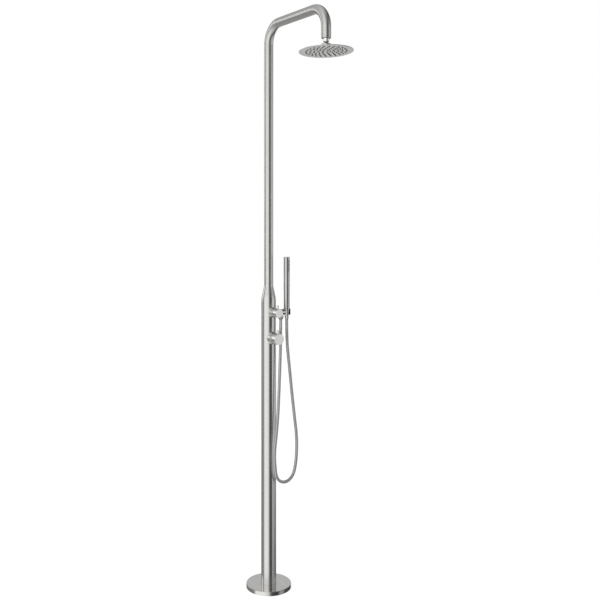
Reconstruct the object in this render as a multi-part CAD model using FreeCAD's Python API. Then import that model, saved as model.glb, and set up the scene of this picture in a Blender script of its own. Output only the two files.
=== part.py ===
import FreeCAD, Part
import math
import os

from FreeCAD import Vector

# An outdoor shower post in brushed stainless steel, in millimetres.
# The origin is the centre of the foot on the floor. +Z is up, the arm and both knobs point to -Y,
# and the handset hangs on the +X side.

# ---------------------------------------------------------------- post and foot
post_radius = 30.15
post_wall = 2.0
flange_radius = 82.0
flange_thickness = 6.0
anchor_circle_radius = 65.0
anchor_hole_radius = 4.5
anchor_count = 4
anchor_turn = 45.0
service_hole_radius = 27.0
cover_radius = 90.0
cover_height = 16.0
cover_wall = 2.0
cover_edge = 1.0
cover_post_gap = 0.5
cover_hub_wall = 4.0
cover_hub_lift = 3.0
seal_radius = 1.15

# ---------------------------------------------------------------- taper, riser and arm
taper_angle = 13.4
shoulder_radius = 130.0
neck_radius = 60.0
riser_radius = 18.5
riser_wall = 1.5
arm_height = 2256.0
arm_reach = 387.0
arm_drop = 120.0
bend_radius = 77.0
bush_length = 16.0
bush_floor = 2.0
riser_hose_radius = 6.5
riser_hose_wall = 1.5

# ---------------------------------------------------------------- the two controls
mixer_height = 1003.0
control_spacing = 103.0
post_over_diverter = 39.0
mixer_stub_radius = 21.7
diverter_stub_radius = 17.2
stub_wall = 3.0
collar_face = 34.6
collar_fillet = 3.5
sleeve_face = 55.0
knob_gap = 0.8
knob_face = 79.0
knob_edge = 0.6
knob_recess = 6.0
knob_web = 4.0
spindle_radius = 4.0
lever_radius = 4.0
lever_length = 14.0
lever_edge = 1.0
lever_inset = 12.0
lever_socket = 6.0
grub_radius = 2.0
grub_length = 6.0
grub_socket_radius = 1.1
grub_socket_depth = 2.0
cartridge_seat = 10.0
cartridge_floor = 10.0
cartridge_face = 46.5
cartridge_wall = 3.2
cartridge_nut_length = 6.0
cartridge_nut_bore = 7.0
body_radius = 22.0
mixer_body_height = 64.0
diverter_body_height = 52.0
waterway_radius = 5.0
waterway_offset = 12.5
port_radius = 2.5
port_depth = 3.0
port_rise = 7.0

# ---------------------------------------------------------------- supplies under the mixer
supply_hose_radius = 6.5
supply_hose_wall = 1.5
supply_nut_flats = 24.0
supply_nut_height = 14.0
supply_nut_bore = 9.3
supply_nut_thread = 11.0
supply_end_height = 1.0
check_valve_length = 12.0
check_valve_inset = 2.0
link_pipe_wall = 1.0

# ---------------------------------------------------------------- holder for the handset
holder_axis = 41.0
holder_radius = 12.0
holder_water_radius = 4.5
holder_bore_stop = 6.0
outlet_offset = 31.0
outlet_thread_radius = 10.2
outlet_thread_length = 8.0
cradle_offset = 60.0
cradle_radius = 15.5
cradle_wall = 1.9
cradle_slot = 14.0
liner_skin = 0.6

# ---------------------------------------------------------------- hose and its nuts
hose_radius = 6.25
hose_bore = 4.0
nut_top_radius = 12.3
nut_foot_radius = 7.2
hose_nut_height = 44.0
outlet_nut_rim = 6.0
outlet_nut_gap = 3.0
washer_thickness = 1.5
hose_straight = 87.0
hose_loop = [
    (26.0, -43.0, 187.0),
    (20.0, -45.0, 297.0),
    (13.0, -47.0, 397.0),
    (3.0, -48.5, 475.0),
    (-5.0, -49.5, 532.0),
    (-1.0, -49.0, 587.0),
    (5.0, -48.0, 626.0),
    (28.0, -47.0, 651.5),
    (63.0, -46.0, 653.5),
    (90.0, -45.0, 630.0),
    (101.0, -44.5, 591.0),
    (107.0, -44.0, 537.0),
    (107.0, -43.0, 473.0),
    (95.0, -42.0, 383.0),
    (83.0, -41.5, 285.0),
    (72.0, -41.2, 187.0),
]

# ---------------------------------------------------------------- handset
handset_radius = 12.5
handset_wall = 1.2
handset_rise = 15.0
handset_length = 205.0
handset_turn = 16.0
handset_edge = 0.6
handset_cap_height = 3.0
handset_cap_plug = 5.0
handset_plug_height = 14.0
handset_thread_radius = 10.2
handset_thread_length = 10.0
spray_top_margin = 12.0
spray_window_height = 48.0
spray_window_width = 10.0
spray_insert_depth = 3.0
handset_nozzle_radius = 0.8
handset_nozzle_tip_radius = 0.6
handset_nozzle_rows = 10
handset_nozzle_columns = 3
handset_nozzle_pitch = 2.6
handset_nozzle_proud = 0.5

# ---------------------------------------------------------------- rain head and ball joint
ball_radius = 10.0
ball_drop = 30.0
head_tilt = 2.7
stem_thread_radius = 10.4
stem_thread_length = 13.0
stem_collar_radius = 11.45
stem_collar_length = 11.5
stem_neck_radius = 6.5
stem_cone_length = 6.0
stem_bore_radius = 4.0
seat_thickness = 2.45
seat_low = 6.0
seat_high = 5.0
socket_wall = 2.7
socket_floor = 14.5
socket_outlet_radius = 6.0
socket_slot_width = 4.0
socket_slot_count = 4
head_collar_radius = 19.0
head_collar_low = 6.0
head_collar_top = 10.0
head_collar_lip = 8.0
head_collar_mouth = 11.2
head_collar_edge = 2.0
head_radius = 100.0
head_face_drop = 18.4
face_thickness = 2.0
face_edge = 0.6
chamber_radius = 86.0
chamber_height = 9.0
chamber_wall = 1.2
chamber_rim_height = 3.0
chamber_crown_radius = 40.0
gasket_width = 2.0
mat_thickness = 1.5
nozzle_rings = 5
nozzle_pitch = 14.8
nozzle_count_step = 5
nozzle_turn = 40.0
nozzle_root_radius = 3.6
nozzle_tip_radius = 2.2
nozzle_bore_radius = 0.8
nozzle_proud = 1.5
nozzle_sides = 8

# ---------------------------------------------------------------- clearances
fixed_fit = 0.05
running_fit = 0.05
moving_gap = 0.3
overrun = 1.0

# ---------------------------------------------------------------- heights that follow
diverter_height = mixer_height + control_spacing
post_top = diverter_height + post_over_diverter
handset_foot = diverter_height + handset_rise
hose_end_height = handset_foot - hose_nut_height
arm_end = arm_height - arm_drop
ball_height = arm_end - ball_drop

ORIGIN = Vector(0, 0, 0)
UP = Vector(0, 0, 1)
SIDE = Vector(1, 0, 0)


# ---------------------------------------------------------------- shapes used all over
def save(name, shape):
    """Write one sub-part to its own file and print its volume."""
    shape.exportStep("parts/" + name + ".step")
    print(f"{name:26s} {shape.Volume / 1000:9.2f} cm3  {len(shape.Solids)} solid(s)")


def turned(profile):
    """A solid of revolution about Z from its (radius, height) corners."""
    corners = [Vector(radius, 0, height) for radius, height in profile]
    wire = Part.makePolygon(corners + corners[:1])
    return Part.Face(wire).revolve(ORIGIN, UP, 360)


def rod(radius, low, high):
    """A plain cylinder about Z."""
    return Part.makeCylinder(radius, high - low, Vector(0, 0, low))


def ring(outer, inner, low, high):
    """A plain tube about Z."""
    return turned([(inner, low), (outer, low), (outer, high), (inner, high)])


def block(width, depth, low, high):
    """A box centred on the Z axis."""
    corner = Vector(-width / 2, -depth / 2, low)
    return Part.makeBox(width, depth, high - low, corner)


def prism(sides, low_radius, high_radius, low, high):
    """A straight-sided cone frustum about Z with flat faces; the radii are to its corners."""
    outlines = []
    for radius, height in ((low_radius, low), (high_radius, high)):
        corners = []
        for step in range(sides + 1):
            turn = 2 * math.pi * (step % sides) / sides
            corners.append(Vector(radius * math.cos(turn), radius * math.sin(turn), height))
        outlines.append(Part.makePolygon(corners))
    return Part.makeLoft(outlines, True, True)


def moved(shape, x=0.0, y=0.0, z=0.0):
    """The shape, shifted."""
    result = shape.copy()
    result.translate(Vector(x, y, z))
    return result


def turned_to(shape, axis, angle):
    """The shape, turned about an axis through the origin."""
    result = shape.copy()
    result.rotate(ORIGIN, axis, angle)
    return result


def facing_front(shape, height=0.0):
    """A shape made about Z, laid down so that its top points to the front at the given height."""
    return moved(turned_to(shape, SIDE, 90), z=height)


def facing_side(shape):
    """A shape made about Z, laid down so that its top points to +X."""
    return turned_to(shape, Vector(0, 1, 0), 90)


def rounded_path(points, radii):
    """Straight runs through the points, joined by tangent arcs of the given radii."""
    edges = []
    start = points[0]
    for before, corner, after, radius in zip(points, points[1:], points[2:], radii):
        back = (before - corner).normalize()
        ahead = (after - corner).normalize()
        half_turn = (math.pi - back.getAngle(ahead)) / 2
        setback = radius * math.tan(half_turn)
        bisector = (back + ahead).normalize()
        entry = corner + back * setback
        leave = corner + ahead * setback
        middle = corner + bisector * (radius / math.cos(half_turn) - radius)
        edges.append(Part.LineSegment(start, entry).toShape())
        edges.append(Part.Arc(entry, middle, leave).toShape())
        start = leave
    edges.append(Part.LineSegment(start, points[-1]).toShape())
    return Part.Wire(edges)


def swept(path, radius):
    """A round bar that follows a path."""
    first = path.Edges[0]
    start = first.valueAt(first.FirstParameter)
    heading = first.tangentAt(first.FirstParameter)
    outline = Part.Wire(Part.Circle(start, heading, radius).toShape())
    return path.makePipeShell([outline], True, False)


# ---------------------------------------------------------------- foot
def floor_flange():
    """The plate that is bolted to the floor, with a hole in its middle for the supplies."""
    plate = ring(flange_radius, service_hole_radius, 0, flange_thickness)
    for index in range(anchor_count):
        turn = math.radians(anchor_turn + 360 * index / anchor_count)
        hole = rod(anchor_hole_radius, -overrun, flange_thickness + overrun)
        x = anchor_circle_radius * math.cos(turn)
        y = anchor_circle_radius * math.sin(turn)
        plate = plate.cut(moved(hole, x, y))
    return plate


cover_bore = post_radius + cover_post_gap
cover_hub_radius = cover_bore + cover_hub_wall
cover_hub_low = flange_thickness + cover_hub_lift
seal_height = (cover_hub_low + cover_height - cover_wall) / 2


def base_cover():
    """A loose round cover that hides the flange: open below, with a hub that holds a seal."""
    inner = cover_radius - cover_wall
    lid_low = cover_height - cover_wall
    groove_low = seal_height - seal_radius
    groove_high = seal_height + seal_radius
    groove = post_radius + moving_gap + 2 * seal_radius
    return turned([
        (cover_bore, cover_hub_low),
        (cover_hub_radius, cover_hub_low),
        (cover_hub_radius, lid_low),
        (inner, lid_low),
        (inner, 0),
        (cover_radius, 0),
        (cover_radius, cover_height - cover_edge),
        (cover_radius - cover_edge, cover_height),
        (cover_bore, cover_height),
        (cover_bore, groove_high),
        (groove, groove_high),
        (groove, groove_low),
        (cover_bore, groove_low),
    ])


def cover_seal():
    """The rubber ring in the cover's hub, square in section."""
    inner = post_radius + moving_gap
    half = seal_radius - fixed_fit
    return ring(inner + 2 * half, inner, seal_height - half, seal_height + half)


# ---------------------------------------------------------------- post
CONTROLS = (
    (mixer_height, mixer_stub_radius),
    (diverter_height, diverter_stub_radius),
)


def post_tube():
    """The lower tube, with two short collars drawn out of its front for the controls."""
    tube = rod(post_radius, flange_thickness, post_top)
    for height, radius in CONTROLS:
        collar = facing_front(rod(radius, 0, collar_face), height)
        tube = tube.fuse(collar)
    roots = [edge for edge in tube.Edges if is_collar_root(edge)]
    tube = tube.makeFillet(collar_fillet, roots)
    tube = tube.cut(rod(post_radius - post_wall, 0, post_top + overrun))
    for height, radius in CONTROLS:
        bore = facing_front(rod(radius - stub_wall, 0, collar_face + overrun), height)
        tube = tube.cut(bore)
    return tube


def is_collar_root(edge):
    """True for an edge where a collar meets the tube's round outside."""
    if edge.Closed and edge.Curve.TypeId == "Part::GeomCircle":
        return False
    box = edge.BoundBox
    on_tube = box.YMin > -post_radius - overrun
    return on_tube and box.ZMin > flange_thickness + overrun and box.ZMax < post_top - overrun


taper_turn = math.radians(taper_angle)
shoulder_inset = shoulder_radius * (1 - math.cos(taper_turn))
neck_inset = neck_radius * (1 - math.cos(taper_turn))
cone_inset = post_radius - riser_radius - shoulder_inset - neck_inset
shoulder_rise = shoulder_radius * math.sin(taper_turn)
cone_rise = cone_inset / math.tan(taper_turn)
neck_rise = neck_radius * math.sin(taper_turn)
taper_height = shoulder_rise + cone_rise + neck_rise
riser_foot = post_top + taper_height


def taper_side(low_wall, high_wall):
    """The taper's side from bottom to top: a round shoulder, a cone and a hollow neck."""
    half = taper_turn / 2
    foot = post_radius - low_wall
    head = riser_radius - high_wall
    shoulder_mid = foot - shoulder_radius * (1 - math.cos(half))
    neck_mid = head + neck_radius * (1 - math.cos(half))
    corners = [
        (foot, 0),
        (shoulder_mid, shoulder_radius * math.sin(half)),
        (foot - shoulder_inset, shoulder_rise),
        (head + neck_inset, shoulder_rise + cone_rise),
        (neck_mid, taper_height - neck_radius * math.sin(half)),
        (head, taper_height),
    ]
    low, shoulder, cone_low, cone_high, neck, high = [
        Vector(radius, 0, post_top + height) for radius, height in corners
    ]
    return [
        Part.Arc(low, shoulder, cone_low).toShape(),
        Part.LineSegment(cone_low, cone_high).toShape(),
        Part.Arc(cone_high, neck, high).toShape(),
    ]


def taper():
    """The drawn reducer between the lower tube and the riser."""
    outside = taper_side(0, 0)
    inside = taper_side(post_wall, riser_wall)
    foot = Part.LineSegment(inside[0].Vertexes[0].Point, outside[0].Vertexes[0].Point).toShape()
    head = Part.LineSegment(inside[2].Vertexes[1].Point, outside[2].Vertexes[1].Point).toShape()
    outline = Part.Wire(Part.__sortEdges__(outside + [head] + inside + [foot]))
    return Part.Face(outline).revolve(ORIGIN, UP, 360)


def arm_route(low, end):
    """The centre line of riser and arm, from one height to another."""
    points = [
        Vector(0, 0, low),
        Vector(0, 0, arm_height),
        Vector(0, -arm_reach, arm_height),
        Vector(0, -arm_reach, end),
    ]
    return rounded_path(points, [bend_radius, bend_radius])


def riser_arm():
    """One tube, bent twice: the riser, the level arm and its short drop."""
    route = arm_route(riser_foot, arm_end)
    return swept(route, riser_radius).cut(swept(route, riser_radius - riser_wall))


def arm_bush():
    """The bush in the end of the arm: threaded for the stem below, closed round the hose above."""
    outer = riser_radius - riser_wall - fixed_fit
    thread = stem_thread_radius + fixed_fit
    way = riser_hose_radius - riser_hose_wall
    top = arm_end + bush_length
    bush = turned([
        (thread, arm_end),
        (outer, arm_end),
        (outer, top),
        (way, top),
        (way, top - bush_floor),
        (thread, top - bush_floor),
    ])
    return moved(bush, y=-arm_reach)


# ---------------------------------------------------------------- controls
def sleeve(stub_radius, height):
    """The fixed ring between a collar and its knob."""
    return facing_front(ring(stub_radius, stub_radius - stub_wall, collar_face, sleeve_face), height)


def valve_body(stub_radius, height, body_height):
    """A brass block inside the post, with a round nose that carries a cartridge."""
    nose_radius = stub_radius - stub_wall - fixed_fit
    block_solid = rod(body_radius, height - body_height / 2, height + body_height / 2)
    nose = facing_front(rod(nose_radius, 0, cartridge_face), height)
    pocket = facing_front(rod(nose_radius - cartridge_wall, cartridge_seat, cartridge_face + overrun), height)
    return block_solid.fuse(nose).cut(pocket).removeSplitter()


def waterway(x, y, low, high):
    """An upright bore in a valve body."""
    return moved(rod(waterway_radius, low, high), x, y)


def port(x, y, height, end):
    """A level bore from an upright one at depth y to a point in front of the post's axis."""
    return moved(facing_front(rod(port_radius, -y, end), height), x)


def mixer_body():
    """The mixing valve's body: hot and cold in from below, mixed water out above."""
    body = valve_body(mixer_stub_radius, mixer_height, mixer_body_height)
    low = mixer_height - mixer_body_height / 2 - overrun
    top = mixer_height + mixer_body_height / 2 + overrun
    seat = cartridge_seat + overrun
    for x in (-waterway_offset, waterway_offset):
        body = body.cut(waterway(x, 0, low, mixer_height + port_radius))
        body = body.cut(port(x, 0, mixer_height, seat))
    outlet = mixer_height + port_rise
    body = body.cut(waterway(0, waterway_offset, outlet - port_radius, top))
    return body.cut(port(0, waterway_offset, outlet, seat))


def diverter_body():
    """The diverter's body: mixed water in from below, out above to the riser or at the side."""
    body = valve_body(diverter_stub_radius, diverter_height, diverter_body_height)
    low = diverter_height - diverter_body_height / 2 - overrun
    top = diverter_height + diverter_body_height / 2 + overrun
    seat = cartridge_seat + overrun
    body = body.cut(waterway(0, waterway_offset, low, diverter_height + port_radius))
    body = body.cut(port(0, waterway_offset, diverter_height, seat))
    outlet = diverter_height + port_rise
    body = body.cut(waterway(0, 0, outlet - port_radius, top))
    body = body.cut(port(0, 0, outlet, seat))
    return body.cut(side_waterway(0, diverter_stub_radius))


def side_waterway(start, end):
    """The level bore that takes water from the diverter out along the holder's bar."""
    bore = facing_side(rod(holder_water_radius, start, end))
    return moved(bore, y=-holder_axis, z=diverter_height)


spindle_foot = cartridge_seat + cartridge_floor


def cartridge(stub_radius, height):
    """A ceramic cartridge, bored for its spindle."""
    radius = stub_radius - stub_wall - cartridge_wall - 2 * fixed_fit
    body = ring(radius, spindle_radius + running_fit, cartridge_seat, cartridge_face)
    return facing_front(body.fuse(rod(radius, cartridge_seat, spindle_foot)), height)


def mixer_cartridge():
    """The mixer's cartridge, with three ports in its seat."""
    body = cartridge(mixer_stub_radius, mixer_height)
    end = cartridge_seat + port_depth
    for x in (-waterway_offset, waterway_offset):
        body = body.cut(port(x, 0, mixer_height, end))
    return body.cut(port(0, 0, mixer_height + port_rise, end))


def diverter_cartridge():
    """The diverter's cartridge, with two ports in its seat and one in its side."""
    body = cartridge(diverter_stub_radius, diverter_height)
    end = cartridge_seat + port_depth
    body = body.cut(port(0, 0, diverter_height, end))
    body = body.cut(port(0, 0, diverter_height + port_rise, end))
    outer = diverter_stub_radius - stub_wall - cartridge_wall
    return body.cut(side_waterway(outer - port_depth, diverter_stub_radius))


def cartridge_nut(stub_radius, height):
    """The ring nut that holds a cartridge in its body."""
    outer = stub_radius - stub_wall - fixed_fit
    nut = ring(outer, cartridge_nut_bore, cartridge_face, cartridge_face + cartridge_nut_length)
    return facing_front(nut, height)


knob_back = sleeve_face + knob_gap
lever_depth = knob_face - lever_inset


def knob(stub_radius, height):
    """A plain round knob with a hollow back, bored for its spindle, its lever and its grub screw."""
    hub = spindle_radius + fixed_fit
    body = turned([
        (hub, knob_back + knob_recess),
        (stub_radius - stub_wall, knob_back + knob_recess),
        (stub_radius - stub_wall, knob_back),
        (stub_radius, knob_back),
        (stub_radius, knob_face - knob_edge),
        (stub_radius - knob_edge, knob_face),
        (0, knob_face),
        (0, knob_face - knob_web),
        (hub, knob_face - knob_web),
    ])
    lever_hole = rod(lever_radius + fixed_fit, stub_radius - lever_socket, stub_radius + overrun)
    grub_hole = rod(grub_radius + fixed_fit, 0, stub_radius + overrun)
    body = body.cut(moved(turned_to(lever_hole, SIDE, -90), z=lever_depth))
    body = body.cut(moved(turned_to(grub_hole, SIDE, 90), z=lever_depth))
    return facing_front(body, height)


def spindle(height):
    """The cartridge's spindle, which the knob sits on."""
    return facing_front(rod(spindle_radius, spindle_foot, knob_face - knob_web), height)


def lever(stub_radius, height):
    """The short pin on top of a knob that the fingers push."""
    tip = stub_radius + lever_length
    pin = turned([
        (0, stub_radius - lever_socket),
        (lever_radius, stub_radius - lever_socket),
        (lever_radius, tip - lever_edge),
        (lever_radius - lever_edge, tip),
        (0, tip),
    ])
    return moved(pin, y=-lever_depth, z=height)


def grub_screw(height):
    """The small screw under a knob that clamps it to its spindle."""
    end = spindle_radius + grub_length
    screw = rod(grub_radius, spindle_radius + fixed_fit, end)
    socket = prism(6, grub_socket_radius, grub_socket_radius, end - grub_socket_depth, end + overrun)
    return moved(turned_to(screw.cut(socket), SIDE, 180), y=-lever_depth, z=height)


# ---------------------------------------------------------------- supplies
def supply_nut(x):
    """A hexagon nut at the foot of a supply hose, open below for a half-inch thread."""
    corner_radius = supply_nut_flats / math.sqrt(3)
    low = supply_end_height
    nut = turned_to(prism(6, corner_radius, corner_radius, low, low + supply_nut_height), UP, 30)
    nut = nut.cut(rod(supply_nut_bore, low - overrun, low + supply_nut_thread))
    nut = nut.cut(rod(supply_hose_radius - supply_hose_wall, low, low + supply_nut_height + overrun))
    return moved(nut, x)


def supply_hose(x):
    """A straight hose from its nut up to the mixing valve."""
    low = supply_end_height + supply_nut_height
    high = mixer_height - mixer_body_height / 2
    return moved(ring(supply_hose_radius, supply_hose_radius - supply_hose_wall, low, high), x)


def check_valves():
    """A non-return valve in each inlet of the mixing valve."""
    low = mixer_height - mixer_body_height / 2 + check_valve_inset
    valve = rod(waterway_radius - fixed_fit, low, low + check_valve_length)
    return Part.makeCompound([moved(valve, x) for x in (-waterway_offset, waterway_offset)])


def link_pipe():
    """The pipe that takes mixed water up from the mixer to the diverter."""
    low = mixer_height + mixer_body_height / 2
    high = diverter_height - diverter_body_height / 2
    pipe = ring(waterway_radius + link_pipe_wall, waterway_radius, low, high)
    return moved(pipe, y=waterway_offset)


def riser_hose():
    """The hose inside the riser, from the diverter to the bush at the arm's end."""
    route = arm_route(diverter_height + diverter_body_height / 2, arm_end + bush_length)
    outside = swept(route, riser_hose_radius)
    return outside.cut(swept(route, riser_hose_radius - riser_hose_wall))


# ---------------------------------------------------------------- holder
def at_holder(shape, x=0.0):
    """A shape made about Z, moved to a vertical axis on the holder."""
    return moved(shape, x, -holder_axis)


holder_low = diverter_height - holder_radius
holder_high = diverter_height + holder_radius
outlet_thread_end = holder_low - outlet_thread_length


def diverter_sleeve():
    """The upper sleeve, with a waterway in its side for the handset's outlet."""
    body = sleeve(diverter_stub_radius, diverter_height)
    return body.cut(side_waterway(0, diverter_stub_radius + overrun))


def handset_holder():
    """The side arm: a round bar with the hose outlet below it and a slotted ring at its end."""
    cradle_bore = cradle_radius - cradle_wall
    bar = facing_side(rod(holder_radius, 0, cradle_offset))
    arm = moved(bar, y=-holder_axis, z=diverter_height)
    arm = arm.fuse(at_holder(rod(cradle_radius, holder_low, holder_high), cradle_offset))
    arm = arm.fuse(at_holder(rod(outlet_thread_radius, outlet_thread_end, diverter_height), outlet_offset))
    arm = arm.cut(facing_front(rod(diverter_stub_radius, 0, knob_face), diverter_height))
    arm = arm.cut(side_waterway(0, outlet_offset + holder_bore_stop))
    drop = rod(holder_water_radius, outlet_thread_end - overrun, diverter_height)
    arm = arm.cut(at_holder(drop, outlet_offset))
    arm = arm.cut(at_holder(rod(cradle_bore, holder_low - overrun, holder_high + overrun), cradle_offset))
    return arm.cut(cradle_gap(cradle_slot + 2 * liner_skin))


def cradle_gap(width):
    """The upright slot in the front of the cradle, which the hose slips through."""
    depth = cradle_radius + overrun
    gap = block(width, depth, holder_low - overrun, holder_high + overrun)
    return at_holder(moved(gap, y=-depth / 2), cradle_offset)


nut_slope = (nut_top_radius - nut_foot_radius) / hose_nut_height


def nut_radius_at(height):
    """The outside radius of the handset's cone nut at a height above the floor."""
    return nut_foot_radius + nut_slope * (height - hose_end_height)


def holder_liner():
    """The black lining of the cradle: round outside, a cone inside that the hose nut rests in."""
    outer = cradle_radius - cradle_wall - fixed_fit
    low_bore = nut_radius_at(holder_low) + moving_gap
    high_bore = nut_radius_at(holder_high) + moving_gap
    body = turned([
        (low_bore, holder_low),
        (outer, holder_low),
        (outer, holder_high),
        (high_bore, holder_high),
    ])
    lip = block(cradle_slot + 2 * liner_skin, cradle_radius, holder_low, holder_high)
    lip = moved(lip, y=-cradle_radius / 2)
    front = lip.common(ring(cradle_radius, outer - overrun, holder_low, holder_high))
    body = at_holder(body.fuse(front), cradle_offset)
    return body.cut(cradle_gap(cradle_slot)).removeSplitter()


# ---------------------------------------------------------------- hose and its nuts
def cone_nut(top, rim, thread_radius, thread_length):
    """A hose nut: an upright rim on top, a cone down to the hose, and a threaded mouth."""
    mouth = top - thread_length
    return turned([
        (hose_bore, hose_end_height),
        (nut_foot_radius, hose_end_height),
        (nut_top_radius, top - rim),
        (nut_top_radius, top),
        (thread_radius + fixed_fit, top),
        (thread_radius + fixed_fit, mouth),
        (hose_bore, mouth),
    ])


def outlet_nut():
    """The short nut that joins the hose to the outlet under the holder."""
    top = holder_low - outlet_nut_gap
    length = top - outlet_thread_end + washer_thickness
    nut = cone_nut(top, outlet_nut_rim, outlet_thread_radius, length)
    return at_holder(nut, outlet_offset)


def outlet_washer():
    """The rubber washer inside the outlet nut."""
    top = outlet_thread_end
    washer = ring(outlet_thread_radius, holder_water_radius, top - washer_thickness, top)
    return at_holder(washer, outlet_offset)


def handset_nut():
    """The long cone nut under the handset, which rests in the cradle."""
    length = handset_thread_length + washer_thickness
    nut = cone_nut(handset_foot, 0, handset_thread_radius + running_fit, length)
    return at_holder(nut, cradle_offset)


def handset_washer():
    """The rubber washer inside the handset's nut."""
    top = handset_foot - handset_thread_length
    washer = ring(handset_thread_radius, hose_bore, top - washer_thickness, top)
    return at_holder(washer, cradle_offset)


def hose_radii(points):
    """As large an arc at each corner of the hose as its two runs allow."""
    radii = []
    for before, corner, after in zip(points, points[1:], points[2:]):
        shorter = min(before.distanceToPoint(corner), corner.distanceToPoint(after))
        turn = (corner - before).getAngle(after - corner)
        radii.append(0.45 * shorter / math.tan(turn / 2))
    return radii


def hose_points():
    """The corners of the hose's route: straight down from the outlet, the loop, straight up again."""
    high = hose_end_height
    low = hose_end_height - hose_straight
    down = [Vector(outlet_offset, -holder_axis, z) for z in (high, low)]
    loop = [Vector(x, y, hose_end_height - drop) for x, y, drop in hose_loop]
    up = [Vector(cradle_offset, -holder_axis, z) for z in (low, high)]
    return down + loop + up


def shower_hose():
    """The free hose from the outlet nut down in a loop and up to the handset's nut."""
    points = hose_points()
    radii = hose_radii(points)
    route = rounded_path(points, radii)
    hose = swept(route, hose_radius)
    section = math.pi * hose_radius ** 2
    print("hose radii:", " ".join(f"{radius:.0f}" for radius in radii))
    print(f"hose length {route.Length:.1f} mm, volume over section {hose.Volume / section:.1f} mm")
    return hose


# ---------------------------------------------------------------- handset
handset_top = handset_foot + handset_length
spray_high = handset_top - spray_top_margin
spray_low = spray_high - spray_window_height


def in_hand(shape):
    """A handset shape made about Z with its spray to the front, put in the cradle as it was left."""
    return at_holder(turned_to(shape, UP, handset_turn), cradle_offset)


def spray_window(clearance):
    """The upright slot in the front of the handset's tube."""
    depth = handset_radius + overrun
    window = block(spray_window_width - 2 * clearance, depth, spray_low + clearance, spray_high - clearance)
    return moved(window, y=-depth / 2)


def handset_tube():
    """The handset's straight tube, with a window for the spray insert."""
    body = ring(handset_radius, handset_radius - handset_wall, handset_foot, handset_top - handset_cap_height)
    return in_hand(body.cut(spray_window(0)))


def handset_cap():
    """The cap that closes the top of the handset."""
    plug = handset_radius - handset_wall - fixed_fit
    seat = handset_top - handset_cap_height
    return in_hand(turned([
        (0, seat - handset_cap_plug),
        (plug, seat - handset_cap_plug),
        (plug, seat),
        (handset_radius, seat),
        (handset_radius, handset_top - handset_edge),
        (handset_radius - handset_edge, handset_top),
        (0, handset_top),
    ]))


def handset_connector():
    """The plug in the foot of the handset, with the thread that goes into the hose nut."""
    plug = handset_radius - handset_wall - fixed_fit
    thread_end = handset_foot - handset_thread_length
    return in_hand(turned([
        (hose_bore, thread_end),
        (handset_thread_radius, thread_end),
        (handset_thread_radius, handset_foot),
        (plug, handset_foot),
        (plug, handset_foot + handset_plug_height),
        (hose_bore, handset_foot + handset_plug_height),
    ]))


def spray_insert():
    """The curved plate that fills the window of the handset."""
    skin = ring(handset_radius, handset_radius - spray_insert_depth, spray_low, spray_high)
    return in_hand(skin.common(spray_window(fixed_fit)))


def handset_nozzles():
    """Rows of small soft nozzles on the spray insert."""
    tips = []
    root = handset_radius
    end = handset_radius + handset_nozzle_proud
    step = (spray_window_height - 2 * handset_nozzle_pitch) / (handset_nozzle_rows - 1)
    for column in range(handset_nozzle_columns):
        offset = (column - (handset_nozzle_columns - 1) / 2) * handset_nozzle_pitch
        turn = math.degrees(offset / handset_radius)
        for row in range(handset_nozzle_rows):
            tip = prism(6, handset_nozzle_radius, handset_nozzle_tip_radius, root, end)
            tip = turned_to(tip, SIDE, 90)
            tip = moved(tip, z=spray_low + handset_nozzle_pitch + step * row)
            tips.append(in_hand(turned_to(tip, UP, turn)))
    return Part.makeCompound(tips)


# ---------------------------------------------------------------- rain head
def at_ball(shape):
    """A shape made about the ball's centre, moved to the end of the arm."""
    return moved(shape, 0, -arm_reach, ball_height)


def hung(shape):
    """A shape of the rain head, tipped as it hangs and moved to the ball."""
    return at_ball(turned_to(shape, SIDE, -head_tilt))


def ball_stem():
    """The polished stem: a thread for the bush, a collar, a neck and the ball, bored for water."""
    collar_low = ball_drop - stem_collar_length
    neck_top = collar_low - stem_cone_length
    neck_foot = math.sqrt(ball_radius ** 2 - stem_neck_radius ** 2) - overrun
    stem = turned([
        (0, neck_foot),
        (stem_neck_radius, neck_foot),
        (stem_neck_radius, neck_top),
        (stem_collar_radius, collar_low),
        (stem_collar_radius, ball_drop),
        (stem_thread_radius, ball_drop),
        (stem_thread_radius, ball_drop + stem_thread_length),
        (0, ball_drop + stem_thread_length),
    ])
    stem = stem.fuse(Part.makeSphere(ball_radius))
    bore = rod(stem_bore_radius, -ball_radius - overrun, ball_drop + stem_thread_length + overrun)
    return at_ball(stem.cut(bore))


seat_bore = ball_radius + running_fit
seat_radius = seat_bore + seat_thickness
socket_radius = seat_radius + moving_gap


def ball_seat():
    """The slippery ring around the ball, round inside and outside, which lets the head turn and tip."""
    shell = Part.makeSphere(seat_radius).cut(Part.makeSphere(seat_bore))
    return at_ball(shell.common(rod(seat_radius + overrun, -seat_low, seat_high)))


chamber_top = chamber_height - head_face_drop + face_thickness
plate_top = face_thickness - head_face_drop
mat_top = plate_top + mat_thickness
boss_radius = socket_radius + socket_wall


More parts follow.
